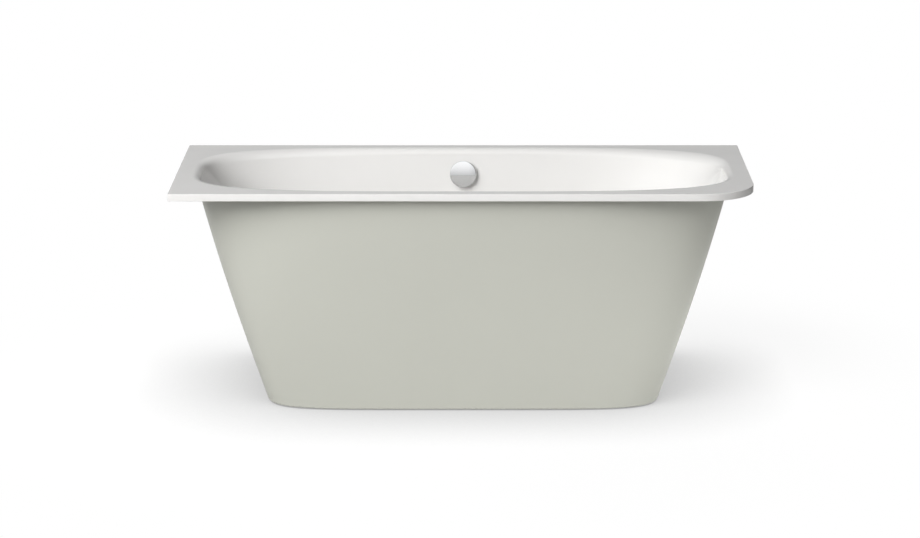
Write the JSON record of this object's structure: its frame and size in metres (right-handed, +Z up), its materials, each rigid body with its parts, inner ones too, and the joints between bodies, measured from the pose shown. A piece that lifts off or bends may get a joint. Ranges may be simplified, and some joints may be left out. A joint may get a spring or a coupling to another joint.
{
  "type": "bathtub",
  "caption": "Corner bathtub with a rolled-edge steel bowl, overhanging flat rim with one rounded corner, tapered apron, adjustable feet and a rotary overflow knob that lifts the plug.",
  "frame": {"origin": "on the floor, under the middle of the rim", "axes": "+X along the bath to the right, +Y from the front to the wall behind, +Z up"},
  "size_m": [1.6, 0.7, 0.62],
  "materials": {
    "white_enamel": "glossy vitreous enamel",
    "sage_enamel": "satin matt vitreous enamel",
    "chrome": "polished",
    "brass": "turned",
    "stainless_steel": "satin",
    "galvanised_steel": "hot-dip galvanised",
    "zinc_steel": "bright zinc plated",
    "black_rubber": "matt",
    "bitumen": "matt",
    "foam": "closed-cell foam",
    "black_plastic": "moulded",
    "grey_plastic": "moulded polypropylene"
  },
  "bodies": {
    "bath": {"tub_shell": "white_enamel", "apron": "sage_enamel", "rim_foam_tape": "foam", "rail_left": "galvanised_steel", "rail_right": "galvanised_steel", "rail_pad_left": "black_rubber", "rail_pad_right": "black_rubber", "apron_bracket_left": "galvanised_steel", "apron_bracket_right": "galvanised_steel", "sound_pad_left": "bitumen", "sound_pad_right": "bitumen", "wall_anchor_left": "galvanised_steel", "wall_anchor_right": "galvanised_steel", "rail_end_caps": "black_plastic", "rail_weld_nuts": "zinc_steel", "foot_lock_nuts": "zinc_steel", "bracket_screws": "zinc_steel", "apron_stud_nuts": "zinc_steel", "earth_lug": "galvanised_steel", "overflow_plate": "chrome", "overflow_front_gasket": "black_rubber", "overflow_rear_gasket": "black_rubber", "overflow_body": "grey_plastic", "overflow_screws": "stainless_steel", "overflow_pipe": "grey_plastic", "overflow_top_nut": "grey_plastic", "overflow_bottom_nut": "grey_plastic", "control_cable": "black_plastic", "cable_clips": "grey_plastic", "waste_flange": "chrome", "waste_top_gasket": "black_rubber", "waste_bottom_gasket": "black_rubber", "waste_body": "grey_plastic", "lifter_pin": "stainless_steel", "trap_bend": "grey_plastic", "trap_inlet_nut": "grey_plastic", "trap_outlet_nut": "grey_plastic", "waste_pipe": "grey_plastic"},
    "overflow_knob": {"overflow_knob": "chrome", "knob_spindle": "brass", "cable_crank": "grey_plastic"},
    "plug": {"plug_cap": "chrome", "plug_stem": "brass", "plug_seal": "black_rubber"},
    "lifter": {"lifter_lever": "stainless_steel"},
    "foot_front_left": {"foot_pad_front_left": "black_plastic", "foot_sole_front_left": "black_rubber"},
    "spindle_front_left": {"foot_spindle_front_left": "zinc_steel"},
    "foot_back_left": {"foot_pad_back_left": "black_plastic", "foot_sole_back_left": "black_rubber"},
    "spindle_back_left": {"foot_spindle_back_left": "zinc_steel"},
    "foot_front_right": {"foot_pad_front_right": "black_plastic", "foot_sole_front_right": "black_rubber"},
    "spindle_front_right": {"foot_spindle_front_right": "zinc_steel"},
    "foot_back_right": {"foot_pad_back_right": "black_plastic", "foot_sole_back_right": "black_rubber"},
    "spindle_back_right": {"foot_spindle_back_right": "zinc_steel"}
  },
  "joints": [
    {"name": "overflow_knob_turn", "type": "hinge", "parent": "bath", "child": "overflow_knob", "pos_m": [0, 0.28465, 0.547], "axis": [0, -0.9848, 0.1736], "range_deg": [0, 90]},
    {"name": "plug_lift", "type": "slide", "parent": "bath", "child": "plug", "axis": [0, 0, 1], "range_m": [0, 0.01]},
    {"name": "lifter_turn", "type": "hinge", "parent": "bath", "child": "lifter", "pos_m": [0, 0.022, 0.122], "axis": [-1, 0, 0], "range_deg": [0, 27.1]},
    {"name": "foot_height_front_left", "type": "slide", "parent": "bath", "child": "foot_front_left", "axis": [0, 0, -1], "range_m": [0, 0.04]},
    {"name": "spindle_turn_front_left", "type": "hinge", "parent": "foot_front_left", "child": "spindle_front_left", "pos_m": [-0.3, -0.235, 0.05], "axis": [0, 0, -1], "range_deg": [0, 8230]},
    {"name": "foot_height_back_left", "type": "slide", "parent": "bath", "child": "foot_back_left", "axis": [0, 0, -1], "range_m": [0, 0.04]},
    {"name": "spindle_turn_back_left", "type": "hinge", "parent": "foot_back_left", "child": "spindle_back_left", "pos_m": [-0.3, 0.235, 0.05], "axis": [0, 0, -1], "range_deg": [0, 8230]},
    {"name": "foot_height_front_right", "type": "slide", "parent": "bath", "child": "foot_front_right", "axis": [0, 0, -1], "range_m": [0, 0.04]},
    {"name": "spindle_turn_front_right", "type": "hinge", "parent": "foot_front_right", "child": "spindle_front_right", "pos_m": [0.3, -0.235, 0.05], "axis": [0, 0, -1], "range_deg": [0, 8230]},
    {"name": "foot_height_back_right", "type": "slide", "parent": "bath", "child": "foot_back_right", "axis": [0, 0, -1], "range_m": [0, 0.04]},
    {"name": "spindle_turn_back_right", "type": "hinge", "parent": "foot_back_right", "child": "spindle_back_right", "pos_m": [0.3, 0.235, 0.05], "axis": [0, 0, -1], "range_deg": [0, 8230]}
  ],
  "couplings": [
    {"joint": "plug_lift", "follows": "overflow_knob_turn", "m_per_rad": 0.0063598},
    {"joint": "lifter_turn", "follows": "overflow_knob_turn", "ratio": 0.30044},
    {"joint": "spindle_turn_front_left", "follows": "foot_height_front_left", "rad_per_m": 3590.4},
    {"joint": "spindle_turn_back_left", "follows": "foot_height_back_left", "rad_per_m": 3590.4},
    {"joint": "spindle_turn_front_right", "follows": "foot_height_front_right", "rad_per_m": 3590.4},
    {"joint": "spindle_turn_back_right", "follows": "foot_height_back_right", "rad_per_m": 3590.4}
  ]
}
